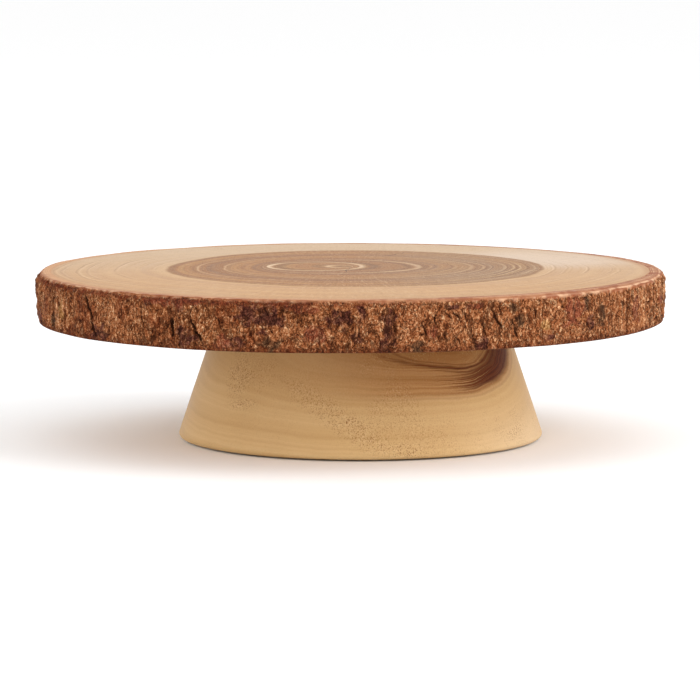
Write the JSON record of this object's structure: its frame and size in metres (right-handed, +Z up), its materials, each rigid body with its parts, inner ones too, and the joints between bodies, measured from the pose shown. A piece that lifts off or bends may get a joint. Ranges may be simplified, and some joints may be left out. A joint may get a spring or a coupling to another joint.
{
  "type": "cake stand",
  "caption": "Low cake stand: a round cross-cut log slice with its bark left on, screwed down onto a wider-footed conical wooden pedestal that stands on felt pads.",
  "frame": {"origin": "on the table, under the middle of the slice", "axes": "+Z up through the slice; +X towards the side that the pedestal is set off to"},
  "size_m": [0.3564, 0.3557, 0.0955],
  "materials": {
    "slice_wood": "sanded end grain, satin clear coat: pale tan sapwood round a mid-brown heartwood",
    "bark": "rough natural bark, matt rust brown with dark patches and fissures",
    "pedestal_wood": "turned and sanded, satin clear coat, golden beige with fine dark pores",
    "steel": "bright zinc-plated",
    "felt": "pressed brown felt"
  },
  "bodies": {
    "root": {"wood_slice": "slice_wood", "bark_ring": "bark", "pedestal": "pedestal_wood", "screw_1": "steel", "screw_2": "steel", "screw_3": "steel", "screw_4": "steel", "washer_1": "steel", "washer_2": "steel", "washer_3": "steel", "washer_4": "steel", "felt_pad_1": "felt", "felt_pad_2": "felt", "felt_pad_3": "felt", "felt_pad_4": "felt"}
  },
  "joints": []
}
